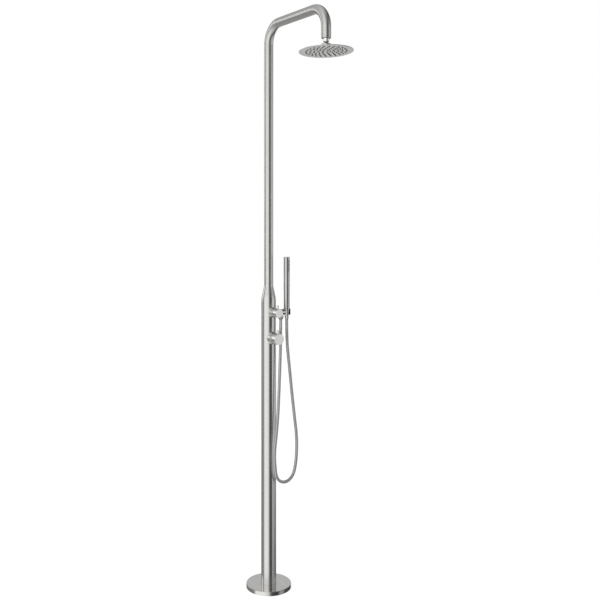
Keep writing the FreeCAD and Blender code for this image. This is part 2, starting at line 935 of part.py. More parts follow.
def head_shell():
    """The water chamber's shallow lid, with the lower half of the ball's socket in its middle."""
    inner_top = chamber_top - chamber_wall
    skirt = chamber_radius - chamber_wall
    lid = turned([
        (0, inner_top),
        (chamber_crown_radius, inner_top),
        (skirt - gasket_width - 2 * fixed_fit, mat_top),
        (skirt, mat_top),
        (skirt, plate_top),
        (chamber_radius, plate_top),
        (chamber_radius, plate_top + chamber_rim_height),
        (chamber_crown_radius, chamber_top),
        (0, chamber_top),
    ])
    lid = lid.fuse(rod(boss_radius, -socket_floor, 0))
    lid = lid.cut(Part.makeSphere(socket_radius))
    lid = lid.cut(rod(socket_outlet_radius, -socket_floor - overrun, 0))
    for index in range(socket_slot_count):
        reach = boss_radius + overrun
        slot = block(socket_slot_width, reach, -socket_floor - overrun, inner_top)
        slot = moved(slot, y=reach / 2)
        lid = lid.cut(turned_to(slot, UP, 360 * index / socket_slot_count))
    return hung(lid)


def head_collar():
    """The ring nut that closes the socket over the ball."""
    lip_radius = math.sqrt(socket_radius ** 2 - head_collar_lip ** 2)
    nut = turned([
        (boss_radius + fixed_fit, -head_collar_low),
        (head_collar_radius, -head_collar_low),
        (head_collar_radius, head_collar_top - head_collar_edge),
        (head_collar_radius - head_collar_edge, head_collar_top),
        (head_collar_mouth, head_collar_top),
        (lip_radius, head_collar_lip),
        (0, head_collar_lip),
        (0, 0),
        (boss_radius + fixed_fit, 0),
    ])
    return hung(nut.cut(Part.makeSphere(socket_radius)))


def at_nozzles(shape):
    """Copies of a shape in rings: five on the first ring and five more on each ring outwards."""
    copies = []
    for ring_number in range(1, nozzle_rings + 1):
        count = nozzle_count_step * ring_number
        reach = ring_number * nozzle_pitch
        for index in range(count):
            turn = math.radians(nozzle_turn + 360 * index / count)
            copies.append(moved(shape, reach * math.cos(turn), reach * math.sin(turn)))
    return Part.makeCompound(copies)


def face_plate():
    """The wide thin disc with a softened rim, pierced for every nozzle."""
    low = -head_face_drop
    plate = turned([
        (0, low),
        (head_radius - face_edge, low),
        (head_radius, low + face_edge),
        (head_radius, plate_top - face_edge),
        (head_radius - face_edge, plate_top),
        (0, plate_top),
    ])
    hole_radius = nozzle_root_radius + fixed_fit
    hole = prism(nozzle_sides, hole_radius, hole_radius, low - overrun, plate_top + overrun)
    return hung(plate.cut(at_nozzles(hole)))


def chamber_gasket():
    """The flat ring that the lid presses on the face plate, inside its skirt."""
    outer = chamber_radius - chamber_wall - fixed_fit
    return hung(ring(outer, outer - gasket_width, plate_top, mat_top))


def nozzle_mat():
    """The soft sheet behind the face plate, pierced above every nozzle."""
    outer = chamber_radius - chamber_wall - gasket_width - 2 * fixed_fit
    bore = prism(nozzle_sides, nozzle_bore_radius, nozzle_bore_radius, plate_top - overrun, mat_top + overrun)
    return hung(rod(outer, plate_top, mat_top).cut(at_nozzles(bore)))


def head_nozzles():
    """The soft nozzles: each a bored plug through the plate with a tapered tip below it."""
    low = -head_face_drop
    tip = low - nozzle_proud
    nozzle = prism(nozzle_sides, nozzle_root_radius, nozzle_root_radius, low, plate_top)
    nozzle = nozzle.fuse(prism(nozzle_sides, nozzle_tip_radius, nozzle_root_radius, tip, low))
    bore = prism(nozzle_sides, nozzle_bore_radius, nozzle_bore_radius, tip - overrun, plate_top + overrun)
    return hung(at_nozzles(nozzle.cut(bore)))


# ---------------------------------------------------------------- write every sub-part
os.makedirs("parts", exist_ok=True)

save("floor_flange", floor_flange())
save("post_tube", post_tube())
save("taper", taper())
save("riser_arm", riser_arm())
save("arm_bush", arm_bush())
save("base_cover", base_cover())
save("cover_seal", cover_seal())

save("mixer_sleeve", sleeve(mixer_stub_radius, mixer_height))
save("mixer_body", mixer_body())
save("mixer_cartridge", mixer_cartridge())
save("diverter_sleeve", diverter_sleeve())
save("diverter_body", diverter_body())
save("diverter_cartridge", diverter_cartridge())
for control, control_height, control_radius in (
    ("mixer", mixer_height, mixer_stub_radius),
    ("diverter", diverter_height, diverter_stub_radius),
):
    save(control + "_cartridge_nut", cartridge_nut(control_radius, control_height))
    save(control + "_knob", knob(control_radius, control_height))
    save(control + "_spindle", spindle(control_height))
    save(control + "_lever", lever(control_radius, control_height))
    save(control + "_grub_screw", grub_screw(control_height))

for supply, supply_x in (("cold", waterway_offset), ("hot", -waterway_offset)):
    save(supply + "_supply_nut", supply_nut(supply_x))
    save(supply + "_supply_hose", supply_hose(supply_x))
save("check_valves", check_valves())
save("link_pipe", link_pipe())
save("riser_hose", riser_hose())

save("handset_holder", handset_holder())
save("holder_liner", holder_liner())
save("outlet_nut", outlet_nut())
save("outlet_washer", outlet_washer())
save("shower_hose", shower_hose())
save("handset_nut", handset_nut())
save("handset_washer", handset_washer())

save("handset_tube", handset_tube())
save("handset_cap", handset_cap())
save("handset_connector", handset_connector())
save("spray_insert", spray_insert())
save("handset_nozzles", handset_nozzles())

save("ball_stem", ball_stem())
save("ball_seat", ball_seat())
save("head_shell", head_shell())
save("head_collar", head_collar())
save("face_plate", face_plate())
save("chamber_gasket", chamber_gasket())
save("nozzle_mat", nozzle_mat())
save("head_nozzles", head_nozzles())
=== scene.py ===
# %% [markdown]
# # An outdoor shower post in brushed stainless steel
#
# This lesson dresses a finished CAD model for a product picture. The CAD parts arrive already in
# place, in metres, with +Z up, so nothing has to be fitted. What is left is what a camera sees:
# finishes with real grain, a supple hose, and a surround of light that steel can mirror.
# The first cell loads the parts and keeps the box that they fill.

# %% Load the parts
import math

import bmesh
import bpy
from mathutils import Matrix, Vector


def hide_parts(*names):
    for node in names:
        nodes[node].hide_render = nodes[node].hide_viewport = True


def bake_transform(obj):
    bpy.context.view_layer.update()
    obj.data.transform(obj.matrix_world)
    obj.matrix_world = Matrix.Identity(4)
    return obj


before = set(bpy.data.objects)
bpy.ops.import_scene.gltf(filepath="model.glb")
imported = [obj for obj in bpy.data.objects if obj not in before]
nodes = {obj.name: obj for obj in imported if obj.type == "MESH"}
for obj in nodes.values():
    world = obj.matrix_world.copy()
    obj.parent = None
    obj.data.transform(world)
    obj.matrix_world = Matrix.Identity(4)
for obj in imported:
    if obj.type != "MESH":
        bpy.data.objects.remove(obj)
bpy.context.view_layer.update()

# %% [markdown]
# ## The camera
#
# The photograph was taken from the front left, about one and a half metres up, with the camera held
# level. Its place was worked out from the heights and ellipses that are known: the rim of the round
# foot, the rim of the rain head, and the two tubes. A level camera keeps upright lines upright, so
# the frame is moved over the object with the lens shift instead of tilting the camera. The frame is
# square and fitted to the sensor's height. The sensor's width is narrower than that, so that a camera
# that steps back by the width, for a view from another side, leaves room for the shift.

# %% Camera
scene = bpy.context.scene
photo_size = 600
focal_pixels = 827.7
straight_ahead_pixel = (268.7, 218.2)
camera_place = Vector((-1.7977, -2.8079, 1.482))
view_direction = Vector((0.5392, 0.8422, 0.0))

camera_data = bpy.data.cameras.new("photo_camera")
camera = bpy.data.objects.new("photo_camera", camera_data)
scene.collection.objects.link(camera)
camera_data.sensor_fit = "VERTICAL"
camera_data.sensor_height = 36.0
camera_data.sensor_width = 27.0
camera_data.lens = focal_pixels / photo_size * camera_data.sensor_height
camera_data.shift_x = (photo_size / 2 - straight_ahead_pixel[0]) / photo_size
camera_data.shift_y = (straight_ahead_pixel[1] - photo_size / 2) / photo_size
camera_data.clip_end = 100.0
camera.location = camera_place
camera.rotation_euler = view_direction.to_track_quat("-Z", "Y").to_euler()
scene.camera = camera
shift = (round(camera_data.shift_x, 3), round(camera_data.shift_y, 3))
print("lens", round(camera_data.lens, 2), "shift", shift)

# %% [markdown]
# ## The hose
#
# A shower hose is a fixed length of supple tube. Both its ends leave their nuts straight down, and
# gravity pulls the rest into a loop. It could be one curve with a round section, but a curve can't
# bend with a moving part. So the route is a few control points here, and the visible hose will be a
# mesh built along the smooth line that they give. A mesh can also carry coordinates for the fine
# winding that shows through its skin.

# %% Route of the hose
hose_radius = 0.00625
hose_route = [
    (0.031, -0.0410, 1.0770), (0.031, -0.0410, 0.9900), (0.026, -0.0430, 0.8900),
    (0.020, -0.0450, 0.7800), (0.013, -0.0470, 0.6800), (0.003, -0.0485, 0.6020),
    (-0.005, -0.0495, 0.5450), (-0.001, -0.0490, 0.4900), (0.005, -0.0480, 0.4510),
    (0.028, -0.0470, 0.4255), (0.063, -0.0460, 0.4235), (0.090, -0.0450, 0.4470),
    (0.101, -0.0445, 0.4860), (0.107, -0.0440, 0.5400), (0.107, -0.0430, 0.6040),
    (0.095, -0.0420, 0.6940), (0.083, -0.0415, 0.7920), (0.072, -0.0412, 0.8900),
    (0.060, -0.0410, 0.9900), (0.060, -0.0410, 1.0770),
]
print("hose drops", round(hose_route[0][2] - min(place[2] for place in hose_route), 3), "m below its ends")

# %% [markdown]
# A supple tube has no corners, and its bends run into one another. Blender's NURBS spline makes such
# a line of the control points, and its mesh gives the line's places. They lie closer in the bends,
# so the line is stepped along again in equal steps, which keeps the winding even along the hose.

# %% Smooth line of the hose
steps_per_point = 24
hose_steps = 420


def nurbs_line(name, points):
    """The smooth line that a NURBS spline makes of its control points, as a list of places."""
    curve = bpy.data.curves.new(name, "CURVE")
    curve.dimensions = "3D"
    spline = curve.splines.new("NURBS")
    spline.points.add(len(points) - 1)
    for point, place in zip(spline.points, points):
        point.co = (*place, 1.0)
    spline.order_u = 3
    spline.use_endpoint_u = True
    spline.resolution_u = steps_per_point
    holder = bpy.data.objects.new(name, curve)
    mesh = bpy.data.meshes.new_from_object(holder)
    places = [vertex.co.copy() for vertex in mesh.vertices]
    bpy.data.objects.remove(holder)
    bpy.data.meshes.remove(mesh)
    return places


def even_steps(places, count):
    """The same line as count + 1 places, all the same way apart, and its length."""
    lengths = [0.0]
    for before, after in zip(places, places[1:]):
        lengths.append(lengths[-1] + (after - before).length)
    result = []
    index = 0
    for step in range(count + 1):
        wanted = lengths[-1] * step / count
        while index < len(places) - 2 and lengths[index + 1] < wanted:
            index += 1
        share = (wanted - lengths[index]) / max(lengths[index + 1] - lengths[index], 1e-9)
        result.append(places[index].lerp(places[index + 1], min(share, 1.0)))
    return result, lengths[-1]


hose_line, hose_length = even_steps(nurbs_line("hose_route", hose_route), hose_steps)
print("hose", round(hose_length, 4), "m long")

# %% [markdown]
# A tube along a line needs a ring of points at each place, and each ring has to face along the line
# without twisting against the one before. A ring's sideways direction is the last one's, pressed
# flat against the new heading, which turns it as little as possible. The tube also gets coordinates:
# once round across, and metres along.

# %% Tube along a line
hose_sides = 28


def tube_along(name, places, radius, sides):
    """A mesh tube with closed ends and coordinates: u once round it, v in metres along it."""
    mesh = bpy.data.meshes.new(name)
    bm = bmesh.new()
    layer = bm.loops.layers.uv.new("along")
    side = (places[1] - places[0]).normalized().orthogonal().normalized()
    rings = []
    travelled = [0.0]
    for index, place in enumerate(places):
        if index:
            travelled.append(travelled[-1] + (place - places[index - 1]).length)
        ahead = places[min(index + 1, len(places) - 1)] - places[max(index - 1, 0)]
        ahead.normalize()
        side = (side - ahead * side.dot(ahead)).normalized()
        across = ahead.cross(side)
        ring = []
        for step in range(sides):
            turn = 2 * math.pi * step / sides
            outward = side * math.cos(turn) + across * math.sin(turn)
            ring.append(bm.verts.new(place + outward * radius))
        rings.append(ring)
    for row, (ring, next_ring) in enumerate(zip(rings, rings[1:])):
        for step in range(sides):
            after = (step + 1) % sides
            face = bm.faces.new((ring[step], ring[after], next_ring[after], next_ring[step]))
            face.smooth = True
            corners = ((step, row), (step + 1, row), (step + 1, row + 1), (step, row + 1))
            for loop, (u, v) in zip(face.loops, corners):
                loop[layer].uv = (u / sides, travelled[v])
    bm.faces.new(list(reversed(rings[0])))
    bm.faces.new(rings[-1])
    bm.normal_update()
    bm.to_mesh(mesh)
    bm.free()
    obj = bpy.data.objects.new(name, mesh)
    scene.collection.objects.link(obj)
    return obj


hose = tube_along("hose_skin", hose_line, hose_radius, hose_sides)
print("hose skin", len(hose.data.vertices), "points")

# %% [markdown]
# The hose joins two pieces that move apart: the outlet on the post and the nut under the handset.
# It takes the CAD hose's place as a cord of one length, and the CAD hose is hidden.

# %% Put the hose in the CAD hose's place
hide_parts("shower_hose")
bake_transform(hose)
print("hose hangs from", hose_route[0], "to", hose_route[-1])

# %% [markdown]
# ## Grain and wear as node groups
#
# Every brushed part shares one effect: fine scratches that all run the same way. It could be built
# again in each material, but a group holds it once, with inputs for what differs, and one repair
# then reaches every part. These helpers keep the groups and materials short: one makes an empty
# group, and one adds a node and gives its sockets their values or their links.

# %% Helpers for node groups


def new_group(name, inputs, outputs):
    """An empty shader group with named sockets, and its input and output nodes."""
    group = bpy.data.node_groups.new(name, "ShaderNodeTree")
    for label, kind, value in inputs:
        socket = group.interface.new_socket(label, in_out="INPUT", socket_type=kind)
        if value is not None:
            socket.default_value = value
    for label, kind in outputs:
        group.interface.new_socket(label, in_out="OUTPUT", socket_type=kind)
    return group, group.nodes.new("NodeGroupInput"), group.nodes.new("NodeGroupOutput")


def set_inputs(tree, node, values):
    """Give a node's sockets their values; a value that is itself a socket is linked."""
    for key, value in values.items():
        if isinstance(value, bpy.types.NodeSocket):
            tree.links.new(value, node.inputs[key])
        else:
            node.inputs[key].default_value = value


def add(tree, kind, values=None, **settings):
    """A node of a kind, with its settings and its sockets' values."""
    node = tree.nodes.new(kind)
    for key, value in settings.items():
        setattr(node, key, value)
    set_inputs(tree, node, values or {})
    return node


print("helpers for groups ready")

# %% [markdown]
# Three kinds of node come up again and again: a sum, a mix of two colours by a mask, and a soft step
# from 0 to 1. A short name for each lets a material read like a recipe.

# %% Sums, mixes and soft steps


def math_of(tree, operation, first, second=0.0, third=0.0):
    """The result of a sum on two or three values or sockets."""
    node = add(tree, "ShaderNodeMath", {0: first, 1: second, 2: third}, operation=operation)
    return node.outputs[0]


def mixed_colour(tree, factor, first, second):
    """A colour between two, by a mask."""
    colours = {0: factor, 6: (*first, 1.0), 7: (*second, 1.0)}
    return add(tree, "ShaderNodeMix", colours, data_type="RGBA").outputs[2]


def soft_step(tree, value, start, end):
    """A share that goes softly from 0 to 1 while a value goes from start to end."""
    steps = {"Value": value, "From Min": start, "From Max": end, "To Min": 0.0, "To Max": 1.0}
    return add(tree, "ShaderNodeMapRange", steps, interpolation_type="SMOOTHSTEP").outputs[0]


print("sums, mixes and soft steps ready")

# %% [markdown]
# The scratches of an abrasive belt could be drawn one by one, but noise does it with two nodes. The
# grain group reads a place in space and stretches it, so that the noise is smooth in two directions
# and very fine in the third. A second, coarser layer gives the bands that a belt leaves where it
# starts and stops. Out come a height for a bump and a mask that shifts roughness and tone.

# %% Grain group
scratch_cells_along = 14.0
band_cells_along = 3.0


def stretched(tree, split, along, across):
    """A place that counts along cells a metre in two directions and across cells in the third."""
    return add(tree, "ShaderNodeCombineXYZ", {
        0: math_of(tree, "MULTIPLY", split.outputs[0], along),
        1: math_of(tree, "MULTIPLY", split.outputs[1], along),
        2: math_of(tree, "MULTIPLY", split.outputs[2], across),
    }).outputs[0]


grain, grain_in, grain_out = new_group(
    "belt_grain",
    [
        ("Place", "NodeSocketVector", None),
        ("Lines", "NodeSocketFloat", 2200.0),
        ("Bands", "NodeSocketFloat", 60.0),
    ],
    [("Height", "NodeSocketFloat"), ("Mask", "NodeSocketFloat")],
)
split = add(grain, "ShaderNodeSeparateXYZ", {0: grain_in.outputs["Place"]})
scratches = add(grain, "ShaderNodeTexNoise", {
    "Vector": stretched(grain, split, scratch_cells_along, grain_in.outputs["Lines"]),
    "Scale": 1.0, "Detail": 3.0, "Roughness": 0.65,
}).outputs["Fac"]
bands = add(grain, "ShaderNodeTexNoise", {
    "Vector": stretched(grain, split, band_cells_along, grain_in.outputs["Bands"]),
    "Scale": 1.0, "Detail": 4.0,
}).outputs["Fac"]
set_inputs(grain, grain_out, {"Height": scratches, "Mask": math_of(grain, "MULTIPLY", scratches, bands)})
print("grain group has", len(grain.nodes), "nodes")

# %% [markdown]
# Steel outdoors is handled, rained on and wiped, so its sheen isn't even. A painted mask could say
# where, but soft noise is enough at this distance. The handling group gives cloudy patches that the
# materials use to make the surface a little duller or cleaner.

# %% Handling group
clouds_begin = 0.35
clouds_full = 0.7

handling, handling_in, handling_out = new_group(
    "handling",
    [("Place", "NodeSocketVector", None), ("Size", "NodeSocketFloat", 9.0)],
    [("Mask", "NodeSocketFloat")],
)
clouds = add(handling, "ShaderNodeTexNoise", {
    "Vector": handling_in.outputs["Place"], "Scale": handling_in.outputs["Size"],
    "Detail": 5.0, "Roughness": 0.6,
}).outputs["Fac"]
set_inputs(handling, handling_out, {"Mask": soft_step(handling, clouds, clouds_begin, clouds_full)})
print("handling group has", len(handling.nodes), "nodes")

# %% [markdown]
# ## Finishes
#
# Each finish is one material with the Principled shader. These helpers make one, place a shared
# group in it, shade a tone and raise a bump. The height of a bump is one small length, and each
# finish says how much of it shows.

# %% Helpers for materials
bump_height = 0.0002


def empty_material(name):
    """A material with nothing in its node tree, and the tree."""
    material = bpy.data.materials.new(name)
    material.use_nodes = True
    material.node_tree.nodes.clear()
    return material, material.node_tree


def new_material(name):
    """A material with the Principled shader, its tree and the shader."""
    material, tree = empty_material(name)
    shader = add(tree, "ShaderNodeBsdfPrincipled")
    add(tree, "ShaderNodeOutputMaterial", {"Surface": shader.outputs[0]})
    return material, tree, shader


def use_group(tree, group, **values):
    """One use of a shared group with its own values."""
    return add(tree, "ShaderNodeGroup", values, node_tree=group)


def shaded(tone, share):
    """The same tone, lighter or darker by a share."""
    return [channel * share for channel in tone]


def bumped(tree, height, strength, distance=bump_height):
    """The normal of a surface that is raised by a height."""
    values = {"Height": height, "Strength": strength, "Distance": distance}
    return add(tree, "ShaderNodeBump", values).outputs[0]


print("one bump is", bump_height * 1000, "mm high")

# %% [markdown]
# The riser and the arm are one tube with two bends, and what is brushed round it turns with it. A
# direction could be stored on every point, but the tube's own few sizes tell it anywhere: behind
# the first bend's end it runs up, past the second bend's start it runs down, and above the height
# where the bends start it runs forward. Inside a bend two of these are true at once, and their sum
# follows the arc.

# %% Way of the bent tube
riser_bend_radius = 0.077
arm_height = 2.256
arm_reach = 0.387


def pipe_direction(tree, place):
    """The way the riser and arm run at a place: up, round the bend, forward, round, and down."""
    first_bend_ends = -riser_bend_radius
    second_bend_starts = riser_bend_radius - arm_reach
    bends_start = arm_height - riser_bend_radius
    at = add(tree, "ShaderNodeSeparateXYZ", {0: place})
    behind = math_of(tree, "MAXIMUM", math_of(tree, "SUBTRACT", at.outputs[1], first_bend_ends), 0.0)
    ahead = math_of(tree, "MINIMUM", math_of(tree, "SUBTRACT", at.outputs[1], second_bend_starts), 0.0)
    above = math_of(tree, "MAXIMUM", math_of(tree, "SUBTRACT", at.outputs[2], bends_start), 0.0)
    forward = math_of(tree, "MULTIPLY", above, -1.0)
    return add(tree, "ShaderNodeCombineXYZ", {1: forward, 2: math_of(tree, "ADD", behind, ahead)}).outputs[0]


print("arm", arm_height, "m up and", arm_reach, "m forward")

# %% [markdown]
# The tubes are drawn stainless steel, brushed round and round by a belt, so their scratches are
# level and a light smears up and down but stays sharp from side to side. Scratches deep enough to do
# that by themselves would look coarse and noisy. Anisotropy along the tube gives the smear cheaply,
# and the grain only has to be seen: it dulls the steel a little, and changes its tone by a few
# percent. Handling dulls it a little more.

# %% Brushed steel
steel_tone = (0.62, 0.615, 0.60)
darkest_share = 0.94
smear_strength = 0.85
grain_lines = 2200.0
grain_dulls = 0.10
grain_offset = 0.03
grain_lightest_share = 1.03
tube_handling_dulls = 0.04


def smear_along(tree, shader, direction):
    """Smear the reflections along a direction that is given in the part's own coordinates."""
    turn = add(tree, "ShaderNodeVectorTransform", {0: direction}, vector_type="VECTOR",
               convert_from="OBJECT", convert_to="WORLD")
    tree.links.new(turn.outputs[0], shader.inputs["Tangent"])
    shader.inputs["Anisotropic"].default_value = smear_strength


def brushed_steel(name, tone=steel_tone, roughness=0.28, along=(0.0, 0.0, 1.0), depth=0.008):
    """Brushed steel whose smear runs along a direction, or along the riser and arm if none is given.

    The grain is fine along Z as it comes, and it is turned for a bar that lies along X.
    """
    material, tree, shader = new_material(name)
    place = add(tree, "ShaderNodeTexCoord").outputs["Object"]
    if along is None:
        direction = pipe_direction(tree, place)
    else:
        direction = add(tree, "ShaderNodeCombineXYZ", dict(enumerate(along))).outputs[0]
    smear_along(tree, shader, direction)
    turned = (0.0, math.pi / 2, 0.0) if along and along[0] else (0.0, 0.0, 0.0)
    turn = add(tree, "ShaderNodeMapping", {"Vector": place, "Rotation": turned})
    belt = use_group(tree, grain, Place=turn.outputs[0], Lines=grain_lines)
    touch = use_group(tree, handling, Place=place)
    rough = math_of(tree, "MULTIPLY_ADD", belt.outputs["Mask"], grain_dulls, roughness - grain_offset)
    rough = math_of(tree, "MULTIPLY_ADD", touch.outputs["Mask"], tube_handling_dulls, rough)
    lightest = shaded(tone, grain_lightest_share)
    colour = mixed_colour(tree, belt.outputs["Mask"], lightest, shaded(tone, darkest_share))
    set_inputs(tree, shader, {
        "Roughness": rough, "Base Color": colour, "Metallic": 1.0,
        "Normal": bumped(tree, belt.outputs["Height"], depth),
    })
    return material


tube_steel = brushed_steel("tube_steel", roughness=0.24, depth=0.0015)
arm_steel = brushed_steel("arm_steel", roughness=0.32, along=None, depth=0.002)
handset_steel = brushed_steel("handset_steel", tone=(0.54, 0.535, 0.525), roughness=0.34)
side_steel = brushed_steel("side_steel", roughness=0.18, along=(1.0, 0.0, 0.0))
front_steel = brushed_steel("front_steel", roughness=0.42, along=(0.0, 1.0, 0.0))
print("brushed", [m.name for m in (tube_steel, arm_steel, handset_steel, side_steel, front_steel)])

# %% [markdown]
# Parts that come off a lathe carry fine rings about their own axis instead. Waves in a ring pattern
# would all be alike, so the rings are noise again. The rings group reads only the distance from the
# axis, and a knob's face and the round foot share it with different centres.

# %% Lathe rings group
rings, rings_in, rings_out = new_group(
    "lathe_rings",
    [("Place", "NodeSocketVector", None), ("Pitch", "NodeSocketFloat", 900.0)],
    [("Height", "NodeSocketFloat")],
)
distance = add(rings, "ShaderNodeVectorMath", {0: rings_in.outputs["Place"]}, operation="LENGTH")
ring_place = add(rings, "ShaderNodeCombineXYZ", {
    0: math_of(rings, "MULTIPLY", distance.outputs["Value"], rings_in.outputs["Pitch"]),
})
ring_noise = add(rings, "ShaderNodeTexNoise", {
    "Vector": ring_place.outputs[0], "Scale": 1.0, "Detail": 3.0,
})
set_inputs(rings, rings_out, {"Height": ring_noise.outputs["Fac"]})
print("rings group has", len(rings.nodes), "nodes")

# %% [markdown]
# The top of the cover over the foot isn't turned: it is bright sheet with the mill's straight grain,
# and only its rim comes off the lathe. The cover is one solid, so instead of two materials it has
# one, and a height says where the top begins.

# %% Mill's grain above a height
mill_lines = 240.0
mill_turn = 0.6
mill_light = (0.98, 0.975, 0.96)
mill_dark = (0.66, 0.655, 0.64)


def milled_above(tree, place, colour, top):
    """A colour that goes over to bright sheet with straight grain above the height top."""
    height = add(tree, "ShaderNodeSeparateXYZ", {0: place}).outputs[2]
    on_top = math_of(tree, "GREATER_THAN", height, top)
    across = add(tree, "ShaderNodeMapping", {"Vector": place, "Rotation": (0.0, math.pi / 2, mill_turn)})
    mill = use_group(tree, grain, Place=across.outputs[0], Lines=mill_lines)
    milled = mixed_colour(tree, mill.outputs["Height"], mill_light, mill_dark)
    return add(tree, "ShaderNodeMix", {0: on_top, 6: colour, 7: milled}, data_type="RGBA").outputs[2]


print("mill's grain at", round(math.degrees(mill_turn), 1), "degrees")

# %% [markdown]
# The knobs, the rain head and the rim of the cover are turned steel. Their faces are flat and mirror
# one small part of the surround, so a smear would hardly show, and a plain roughness does. Each is
# the same recipe about another axis, so one function makes them all.

# %% Turned steel
mixer_height = 1.003
diverter_height = 1.106
cover_top = 0.0158
knob_tone = (0.77, 0.765, 0.75)
rings_dull = 0.12
rings_offset = 0.05
rings_lightest_share = 1.04
turned_handling_dulls = 0.05


def turned_steel(name, centre, flatten, tone=steel_tone, roughness=0.2, depth=0.01, top=None):
    """Steel off a lathe: rings about an axis through the centre; flatten is 0 along that axis.

    Above the height top, where one is given, it shows the mill's grain instead.
    """
    material, tree, shader = new_material(name)
    place = add(tree, "ShaderNodeTexCoord").outputs["Object"]
    offset = tuple(-c * f for c, f in zip(centre, flatten))
    middle = add(tree, "ShaderNodeMapping", {"Vector": place, "Location": offset, "Scale": flatten})
    lathe = use_group(tree, rings, Place=middle.outputs[0])
    touch = use_group(tree, handling, Place=place)
    rough = math_of(tree, "MULTIPLY_ADD", lathe.outputs["Height"], rings_dull, roughness - rings_offset)
    rough = math_of(tree, "MULTIPLY_ADD", touch.outputs["Mask"], turned_handling_dulls, rough)
    lightest = shaded(tone, rings_lightest_share)
    colour = mixed_colour(tree, lathe.outputs["Height"], lightest, shaded(tone, darkest_share))
    if top is not None:
        colour = milled_above(tree, place, colour, top)
    set_inputs(tree, shader, {
        "Roughness": rough, "Base Color": colour, "Metallic": 1.0,
        "Normal": bumped(tree, lathe.outputs["Height"], depth),
    })
    return material


def knob_steel(name, height):
    """The finish of a knob and its pin, turned about a level axis at a height."""
    return turned_steel(name, (0, 0, height), (1, 0, 1), roughness=0.28, tone=knob_tone)


cover_steel = turned_steel("cover_steel", (0, 0, 0), (1, 1, 0), roughness=0.05, depth=0.002, top=cover_top)
plate_steel = turned_steel("plate_steel", (0, -arm_reach, 0), (1, 1, 0), roughness=0.3)
mixer_steel = knob_steel("mixer_knob_steel", mixer_height)
diverter_steel = knob_steel("diverter_knob_steel", diverter_height)
print("turned", [m.name for m in (cover_steel, plate_steel, mixer_steel, diverter_steel)])

# %% [markdown]
# The soft and plain parts need less, but no surface is one flat value. A single colour would do from
# across a garden, and would look like a drawing from close by. Each part gets a little uneven tone
# and roughness from the same handling group, and fine pores.

# %% Plain finishes
pore_scale = 2500.0
clouds_dull = 0.1


def grey(value):
    """A colour without a hue."""
    return (value, value, value)


def plain_finish(name, dark, light, roughness, metallic=0.0, size=30.0, depth=0.02):
    """A finish with a faint cloudy change of tone and sheen."""
    material, tree, shader = new_material(name)
    place = add(tree, "ShaderNodeTexCoord").outputs["Object"]
    touch = use_group(tree, handling, Place=place, Size=size).outputs["Mask"]
    pores = add(tree, "ShaderNodeTexNoise", {"Vector": place, "Scale": pore_scale, "Detail": 2.0})
    set_inputs(tree, shader, {
        "Base Color": mixed_colour(tree, touch, dark, light), "Metallic": metallic,
        "Roughness": math_of(tree, "MULTIPLY_ADD", touch, clouds_dull, roughness),
        "Normal": bumped(tree, pores.outputs["Fac"], depth),
    })
    return material


polished = plain_finish("polished_chrome", grey(0.80), grey(0.84), 0.03, metallic=1.0, depth=0.002)
brass = plain_finish("turned_brass", (0.58, 0.42, 0.18), (0.68, 0.51, 0.24), 0.25, metallic=1.0)
plain_steel = plain_finish("plain_steel", (0.50, 0.50, 0.49), (0.56, 0.56, 0.55), 0.3, metallic=1.0)
wire_braid = plain_finish("wire_braid", (0.45, 0.45, 0.44), (0.62, 0.62, 0.61), 0.35, metallic=1.0,
                          size=400.0, depth=0.4)
white_plastic = plain_finish("white_plastic", (0.78, 0.77, 0.74), (0.84, 0.83, 0.80), 0.4)
# The arm's bush is painted nearly black: this is painted shade of the narrow gap between the arm's end and
# the stem's collar, not the bush's own finish.
painted_shade_bush = plain_finish("painted_shade_bush", grey(0.035), grey(0.06), 0.4)
black_plastic = plain_finish("liner_plastic", (0.012, 0.012, 0.013), (0.022, 0.022, 0.023), 0.35, depth=0.1)
black_rubber = plain_finish("seal_rubber", grey(0.015), (0.028, 0.028, 0.027), 0.6, depth=0.15)
soft_grey = plain_finish("nozzle_silicone", grey(0.085), grey(0.12), 0.5, depth=0.05)
spray_grey = plain_finish("spray_plastic", (0.52, 0.52, 0.525), (0.58, 0.58, 0.585), 0.35)
spray_tips = plain_finish("spray_silicone", grey(0.26), grey(0.32), 0.5, depth=0.05)
print("plain finishes, of", len(bpy.data.materials), "materials so far")

# %% [markdown]
# The hose is clear vinyl over a silver lining with a reinforcing thread wound round it. Modelling
# the thread would take more points than all the rest of the shower. The winding is a stripe along
# the tube's own coordinates instead: a whole turn across shifts it by one pitch, which makes a true
# helix. The clear skin is a coat on the shader.

# %% Hose finish
winding_pitch = 0.0032
winding_height = 0.0003
hose_silver, hose_tree, hose_shader = new_material("hose_silver")
hose_uv = add(hose_tree, "ShaderNodeUVMap", uv_map="along")
hose_split = add(hose_tree, "ShaderNodeSeparateXYZ", {0: hose_uv.outputs[0]})
turns = math_of(hose_tree, "MULTIPLY_ADD", hose_split.outputs[1], 1.0 / winding_pitch, hose_split.outputs[0])
wave = math_of(hose_tree, "SINE", math_of(hose_tree, "MULTIPLY", turns, 2 * math.pi))
wave = math_of(hose_tree, "MULTIPLY_ADD", wave, 0.5, 0.5)
set_inputs(hose_tree, hose_shader, {
    "Base Color": mixed_colour(hose_tree, wave, (0.46, 0.46, 0.465), (0.57, 0.57, 0.575)),
    "Roughness": math_of(hose_tree, "MULTIPLY_ADD", wave, -0.08, 0.42),
    "Normal": bumped(hose_tree, wave, 0.25, winding_height),
    "Metallic": 0.7, "Coat Weight": 0.3, "Coat Roughness": 0.25,
})
hose.data.materials.append(hose_silver)
print("winding every", winding_pitch * 1000, "mm")

